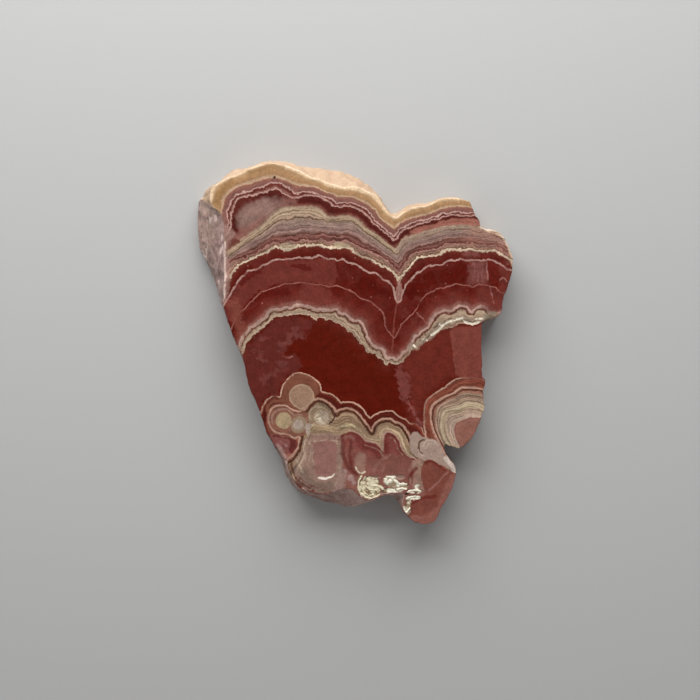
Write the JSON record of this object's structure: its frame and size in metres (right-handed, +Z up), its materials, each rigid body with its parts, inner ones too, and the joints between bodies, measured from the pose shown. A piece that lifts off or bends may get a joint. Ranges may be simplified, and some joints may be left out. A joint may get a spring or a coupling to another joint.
{
  "type": "rhodochrosite slice",
  "caption": "Polished slice of banded rhodochrosite with a heart-shaped double lobe, a natural cream crust along its top and a broken left side, lying flat on its sawn back.",
  "frame": {"origin": "middle of the outline's box, on the plane the sawn back rests on", "axes": "+Z up out of the polished face, through the thickness; +Y along the length, towards the crust; +X across the width"},
  "size_m": [0.0544, 0.0628, 0.0075],
  "materials": {
    "rhodochrosite": "polished face, natural crust and broken edges"
  },
  "bodies": {
    "root": {"rhodochrosite_slice": "rhodochrosite"}
  },
  "joints": []
}
